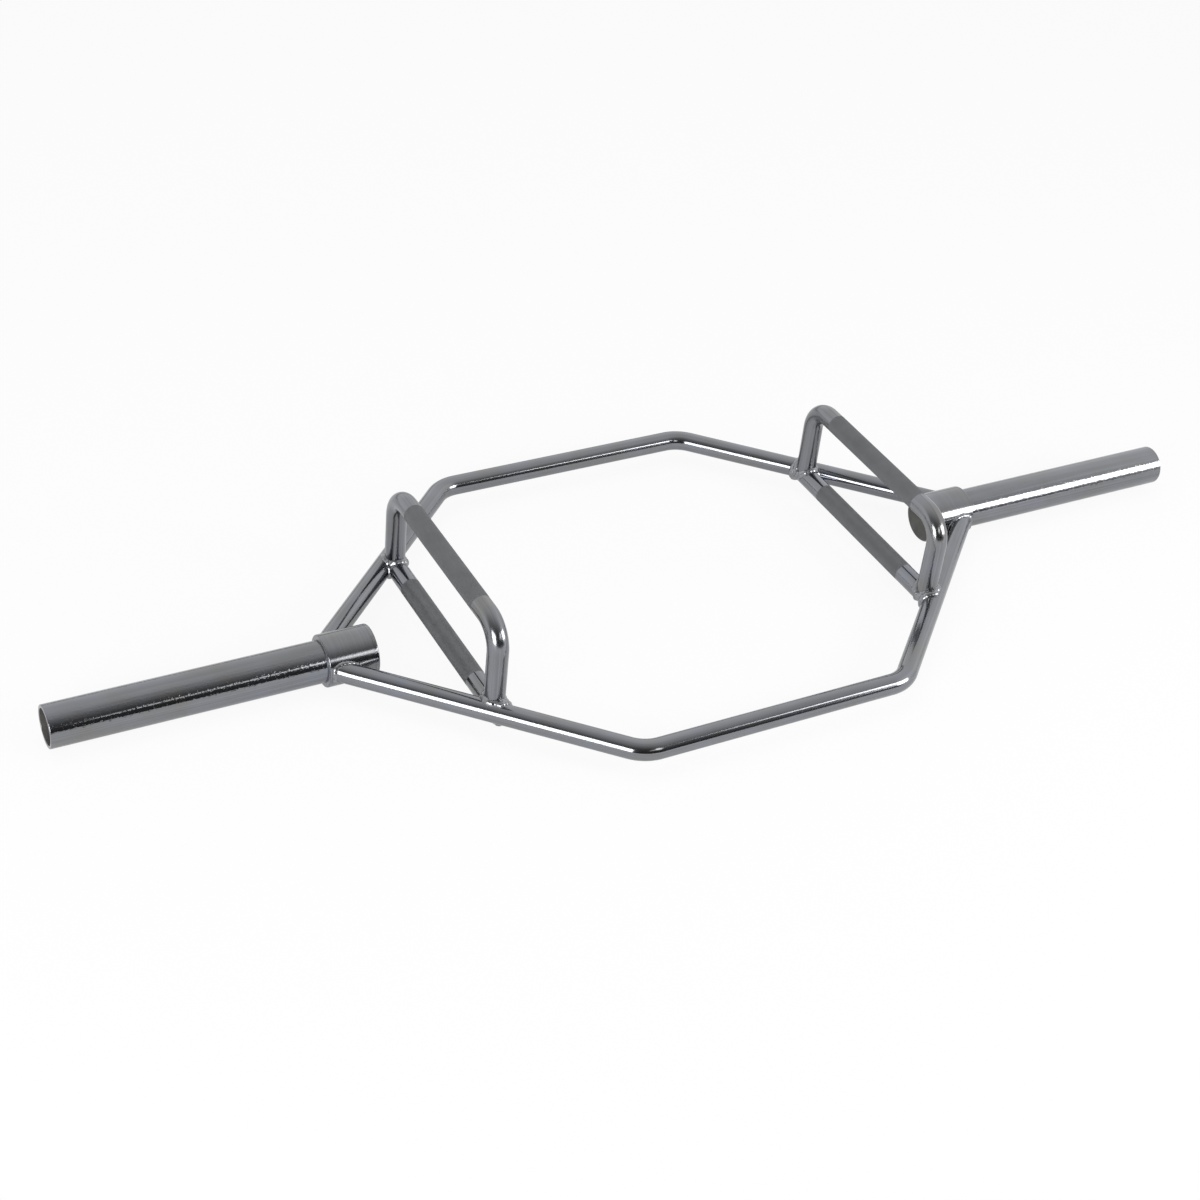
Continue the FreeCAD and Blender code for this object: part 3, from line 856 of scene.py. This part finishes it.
class TRAPBAR_OT_weld_beads(bpy.types.Operator):
    """Lay the weld beads at the collars, the posts' feet and the low handles' ends"""

    bl_idname = "trap_bar.weld_beads"
    bl_label = "Weld Beads"

    def execute(self, context):
        sizes = context.scene.trap_bar_sizes
        radius, lift = sizes.bar_radius, sizes.bead_lift
        corner, end = slope_line(sizes)
        middle = Vector((sizes.handle_x, 0, sizes.axis_height))
        handle_end = middle + Vector((0, sizes.post_y + sizes.post_inset, 0))
        post_foot = middle + Vector((0, sizes.post_y, 0))
        on_post = middle + Vector((0, sizes.post_y, sizes.handle_bend * 2))
        slope = (corner, end, radius)
        low_handle = (middle, handle_end, radius)
        collar = (on_axis(sizes, 0), end, sizes.collar_radius)
        joints = {
            "collar": joint_line(corner, end, radius, [collar], lift),
            "post": joint_line(on_post, post_foot, radius, [low_handle, slope], lift),
            "handle": joint_line(middle, handle_end, radius, [slope], lift),
        }
        stop = sizes.collar_outer - sizes.collar_edge - sizes.collar_bead_radius
        joints["collar"] = [Vector((min(place.x, stop), place.y, place.z)) for place in joints["collar"]]
        widths = {"collar": sizes.collar_bead_radius, "post": sizes.bead_radius, "handle": sizes.bead_radius}
        noise.seed_set(NOISE_SEED)
        seed = 0
        for kind, points in joints.items():
            for side, x_flip in (("right", 1), ("left", -1)):
                for row, y_flip in (("rear", 1), ("front", -1)):
                    seed += SEED_STEP
                    bead = lay_bead(f"{side}_{row}_{kind}_bead", points, sizes, widths[kind], seed,
                                    Vector((x_flip, y_flip, 1)))
                    dress(bead, f"{side}_{row}_{kind}_weld")
        return {"FINISHED"}


# Sizes of the floor and of the scrim's dome, in metres
FLOOR_RADIUS = 14
SCRIM_RADIUS = 6

# How much of the floor's look is plain white, where it is seen and where it is mirrored, and the room's fill
FLOOR_SEEN = 0.9
FLOOR_MIRRORED = 0.36
ROOM_FILL = 0.55

# Where the scrim faces, and how dense it is by degrees from the front floor over the top to the rear floor
SCRIM_TURN = math.radians(112)
SCRIM_DENSITY = ((0, 0.97), (24, 0.93), (42, 0.88), (59, 0.7), (75, 0.48), (91, 0.27),
                 (107, 0.15), (125, 0.1), (150, 0), (170, 0), (175, 0.5), (180, 0.65))

# Spans over which the scrim ends at its sides, and over which its low skirt ends upwards and on the right
SCRIM_RIGHT = (0.42, 0.82)
SCRIM_LEFT = (-0.95, -0.7)
SKIRT_TOP = (math.radians(9), math.radians(16))
SKIRT_RIGHT = (0.66, 0.74)
SKIRT_DENSITY = 0.97

# Lamps: centre, heading of the width, width, height, brightness of the face, shape, whether plating shows it
LAMP_TARGET = (0, 0, 0.03)
LAMPS = {
    "left_soft_box": ((-2.2, -1.58, 0.8), (0.55, -0.8, 0), 1.3, 1.3, 7.0, "RECTANGLE", True),
    "right_soft_box": ((2.12, -1.85, 1.05), (0.68, 0.73, -0.25), 1.4, 1.0, 7.0, "RECTANGLE", True),
    "left_strip_lamp": ((0.08, -1.9, 1.1), (1, 0, 0.62), 0.9, 0.18, 1.6, "ELLIPSE", True),
    "collar_lamp": ((0.21, -1.4, 0.88), (1, 0, 0), 0.36, 0.5, 2.1, "ELLIPSE", True),
    "long_strip_lamp": ((1.25, -1.2, 0.92), (1, 0, 0), 1.4, 0.14, 1.4, "ELLIPSE", True),
    "short_strip_lamp": ((1.22, -1.22, 0.92), (1, 0, 0), 0.88, 0.14, 2.2, "ELLIPSE", True),
    "near_strip_lamp": ((0.9, -1.0, 0.82), (1, 0, 0), 0.84, 0.11, 4.2, "ELLIPSE", True),
    "top_soft_box": ((-0.6, 0.3, 2.6), (1, 0, 0), 1.6, 1.6, 1.2, "RECTANGLE", False),
}

# The photograph's viewpoint, found from the bars' centre lines in it: place, yaw, pitch and roll, lens
CAMERA_PLACE = (-1.16958, -1.79936, 1.57885)
CAMERA_TURN = (0.54228, -0.63744, 0.10973)
CAMERA_LENS = 64.885
CAMERA_SENSOR = 36


def pale_floor(colour):
    """Matt painted floor: white to the camera, greyer in reflections, with the object's soft shadow kept."""
    material = bpy.data.materials.new("matt_white_painted_floor")
    tree = emptied(material)
    path = add(tree, "ShaderNodeLightPath")
    mirrored_too = add(tree, "ShaderNodeMath", {
        0: path.outputs["Is Glossy Ray"], 1: path.outputs["Is Transmission Ray"]})
    less = add(tree, "ShaderNodeMath", {0: mirrored_too.outputs[0], 1: FLOOR_MIRRORED},
               operation="MULTIPLY")
    most = add(tree, "ShaderNodeMath", {0: path.outputs["Is Camera Ray"], 1: FLOOR_SEEN},
               operation="MULTIPLY")
    part = add(tree, "ShaderNodeMath", {0: less.outputs[0], 1: most.outputs[0]}, use_clamp=True)
    paint = add(tree, "ShaderNodeBsdfDiffuse", {"Color": (*colour, 1)})
    glow = add(tree, "ShaderNodeEmission", {"Color": (1, 1, 1, 1), "Strength": 1.0})
    both = add(tree, "ShaderNodeMixShader", {0: part.outputs[0], 1: paint.outputs[0], 2: glow.outputs[0]})
    add(tree, "ShaderNodeOutputMaterial", {"Surface": both.outputs[0]})
    return material


def scrim_cloth():
    """Dark scrim that hangs in front of the object and thins out upwards, with a low skirt on the right.

    Plating shows it as the dark band that runs along each bar above the pale floor.
    """
    material = bpy.data.materials.new("dark_scrim_cloth")
    tree = emptied(material)
    place = add(tree, "ShaderNodeTexCoord").outputs["Object"]
    facing = add(tree, "ShaderNodeMapping", {"Vector": place, "Rotation": (0, 0, SCRIM_TURN)})
    line = add(tree, "ShaderNodeVectorMath", {0: facing.outputs["Vector"]}, operation="NORMALIZE")
    part = add(tree, "ShaderNodeSeparateXYZ", {0: line.outputs["Vector"]})
    rise = add(tree, "ShaderNodeMath", {0: part.outputs["Z"], 1: part.outputs["X"]}, operation="ARCTAN2")
    share = add(tree, "ShaderNodeMath", {0: rise.outputs[0], 1: math.pi}, operation="DIVIDE")
    fall = add(tree, "ShaderNodeValToRGB", {"Fac": share.outputs[0]},
               [(angle / 180, (density, density, density, 1)) for angle, density in SCRIM_DENSITY])
    outward = add(tree, "ShaderNodeVectorMath", {0: place}, operation="NORMALIZE")
    rightward = add(tree, "ShaderNodeSeparateXYZ", {0: outward.outputs["Vector"]}).outputs["X"]
    right_side = add(tree, "ShaderNodeMapRange", {"Value": rightward, **spread(SCRIM_RIGHT, 1.0, 0.0)},
                     interpolation_type="SMOOTHSTEP")
    left_side = add(tree, "ShaderNodeMapRange", {"Value": part.outputs["Y"], **spread(SCRIM_LEFT, 0.0, 1.0)},
                    interpolation_type="SMOOTHSTEP")
    skirt = add(tree, "ShaderNodeMapRange", {
        "Value": rise.outputs[0], **spread(SKIRT_TOP, SKIRT_DENSITY, 0.0)})
    skirt_end = add(tree, "ShaderNodeMapRange", {"Value": rightward, **spread(SKIRT_RIGHT, 1.0, 0.0)})
    low = add(tree, "ShaderNodeMath", {0: skirt.outputs["Result"], 1: skirt_end.outputs["Result"]},
              operation="MULTIPLY")
    across = add(tree, "ShaderNodeMath", {0: right_side.outputs["Result"], 1: low.outputs[0]},
                 operation="MAXIMUM")
    width = add(tree, "ShaderNodeMath", {0: across.outputs[0], 1: left_side.outputs["Result"]},
                operation="MULTIPLY")
    cover = add(tree, "ShaderNodeMath", {0: width.outputs[0], 1: fall.outputs["Color"]},
                operation="MULTIPLY")
    cloth = add(tree, "ShaderNodeBsdfDiffuse", {"Color": (0.01, 0.01, 0.01, 1)})
    open_air = add(tree, "ShaderNodeBsdfTransparent")
    both = add(tree, "ShaderNodeMixShader", {
        0: cover.outputs[0], 1: open_air.outputs[0], 2: cloth.outputs[0]})
    add(tree, "ShaderNodeOutputMaterial", {"Surface": both.outputs[0]})
    return material


def hang_lamp(name, centre, along, width, height, strength, shape, is_mirrored):
    """A studio lamp that faces the object; strength is how bright its face is."""
    data = bpy.data.lights.new(name, "AREA")
    data.shape = shape
    data.size, data.size_y = width, height
    data.energy = strength * math.pi * width * height * (math.pi / 4 if shape == "ELLIPSE" else 1)
    lamp = bpy.data.objects.new(name, data)
    bpy.context.scene.collection.objects.link(lamp)
    back = (Vector(centre) - Vector(LAMP_TARGET)).normalized()
    upright = back.cross(Vector(along)).normalized()
    turned = Matrix((upright.cross(back), upright, back)).transposed().to_4x4()
    lamp.matrix_world = Matrix.Translation(centre) @ turned
    lamp.visible_camera = False
    lamp.visible_glossy = is_mirrored


class TRAPBAR_OT_stage(bpy.types.Operator):
    """Set up the floor, the light and the camera"""

    bl_idname = "trap_bar.stage"
    bl_label = "Stage"

    def execute(self, context):
        scene = context.scene
        scene.view_settings.view_transform = "Standard"
        deselect()
        bpy.ops.mesh.primitive_circle_add(
            vertices=96, radius=FLOOR_RADIUS, fill_type="NGON", location=(0, 0, 0))
        floor = bpy.context.object
        floor.name = "studio_floor"
        floor.data.materials.append(pale_floor(scene.trap_bar_finishes.floor))
        deselect()
        bpy.ops.mesh.primitive_uv_sphere_add(
            segments=96, ring_count=48, radius=SCRIM_RADIUS, location=(0, 0, 0))
        scrim = bpy.context.object
        scrim.name = "studio_scrim"
        edit(scrim)
        pick(scrim, "FACE", lambda place: place.z < 0)
        bpy.ops.mesh.delete(type="FACE")
        bpy.ops.object.mode_set(mode="OBJECT")
        scrim.data.materials.append(scrim_cloth())
        scrim.visible_camera = scrim.visible_diffuse = False
        scrim.visible_shadow = scrim.visible_transmission = False
        for name, settings in LAMPS.items():
            hang_lamp(name, *settings)
        self.light_world(scene)
        self.place_camera(scene)
        return {"FINISHED"}

    def light_world(self, scene):
        """A white room: full white where it is seen or mirrored, less where it lights the floor."""
        world = scene.world or bpy.data.worlds.new("white_room")
        scene.world = world
        tree = emptied(world)
        path = add(tree, "ShaderNodeLightPath")
        seen = add(tree, "ShaderNodeMath", {
            0: path.outputs["Is Camera Ray"], 1: path.outputs["Is Glossy Ray"]})
        also = add(tree, "ShaderNodeMath", {0: seen.outputs[0], 1: path.outputs["Is Transmission Ray"]},
                   use_clamp=True)
        fill = add(tree, "ShaderNodeBackground", {"Color": (1, 1, 1, 1), "Strength": ROOM_FILL})
        white = add(tree, "ShaderNodeBackground", {"Color": (1, 1, 1, 1), "Strength": 1.0})
        both = add(tree, "ShaderNodeMixShader", {
            0: also.outputs[0], 1: fill.outputs[0], 2: white.outputs[0]})
        add(tree, "ShaderNodeOutputWorld", {"Surface": both.outputs[0]})

    def place_camera(self, scene):
        """The camera at the photograph's viewpoint."""
        yaw, pitch, roll = CAMERA_TURN
        forward = Vector((math.sin(yaw) * math.cos(pitch), math.cos(yaw) * math.cos(pitch), math.sin(pitch)))
        level = Vector((math.cos(yaw), -math.sin(yaw), 0))
        upright = level.cross(forward)
        right = level * math.cos(roll) + upright * math.sin(roll)
        up = upright * math.cos(roll) - level * math.sin(roll)
        data = bpy.data.cameras.new("photo_camera")
        data.sensor_width = CAMERA_SENSOR
        data.lens = CAMERA_LENS
        camera = bpy.data.objects.new("photo_camera", data)
        scene.collection.objects.link(camera)
        turned = Matrix((right, up, -forward)).transposed().to_4x4()
        camera.matrix_world = Matrix.Translation(CAMERA_PLACE) @ turned
        scene.camera = camera


class TRAPBAR_PT_sidebar(bpy.types.Panel):
    """Lists the bar's sizes, finishes and making steps"""

    bl_idname = "TRAPBAR_PT_sidebar"
    bl_label = "Hex Trap Bar"
    bl_space_type = "VIEW_3D"
    bl_region_type = "UI"
    bl_category = "Trap Bar"

    def draw(self, context):
        for operator in OPERATORS:
            self.layout.operator(operator.bl_idname)
        for group in (context.scene.trap_bar_sizes, context.scene.trap_bar_finishes):
            column = self.layout.column()
            for name in group.__annotations__:
                column.prop(group, name)


OPERATORS = (
    TRAPBAR_OT_stage,
    TRAPBAR_OT_frame_bars,
    TRAPBAR_OT_sleeves,
    TRAPBAR_OT_collars,
    TRAPBAR_OT_end_plates,
    TRAPBAR_OT_low_handles,
    TRAPBAR_OT_high_handles,
    TRAPBAR_OT_weld_beads,
)
CLASSES = (TrapBarSizes, TrapBarFinishes, *OPERATORS, TRAPBAR_PT_sidebar)


def register():
    """Make the operators, the panel and the settings known to Blender."""
    for kind in CLASSES:
        bpy.utils.register_class(kind)
    bpy.types.Scene.trap_bar_sizes = PointerProperty(type=TrapBarSizes)
    bpy.types.Scene.trap_bar_finishes = PointerProperty(type=TrapBarFinishes)


def unregister():
    """Take them back."""
    del bpy.types.Scene.trap_bar_finishes
    del bpy.types.Scene.trap_bar_sizes
    for kind in reversed(CLASSES):
        bpy.utils.unregister_class(kind)


def main():
    """Make the whole scene."""
    register()
    bpy.ops.trap_bar.stage()
    bpy.ops.trap_bar.frame_bars()
    bpy.ops.trap_bar.sleeves()
    bpy.ops.trap_bar.collars()
    bpy.ops.trap_bar.end_plates()
    bpy.ops.trap_bar.low_handles()
    bpy.ops.trap_bar.high_handles()
    bpy.ops.trap_bar.weld_beads()


if __name__ == "__main__":
    main()
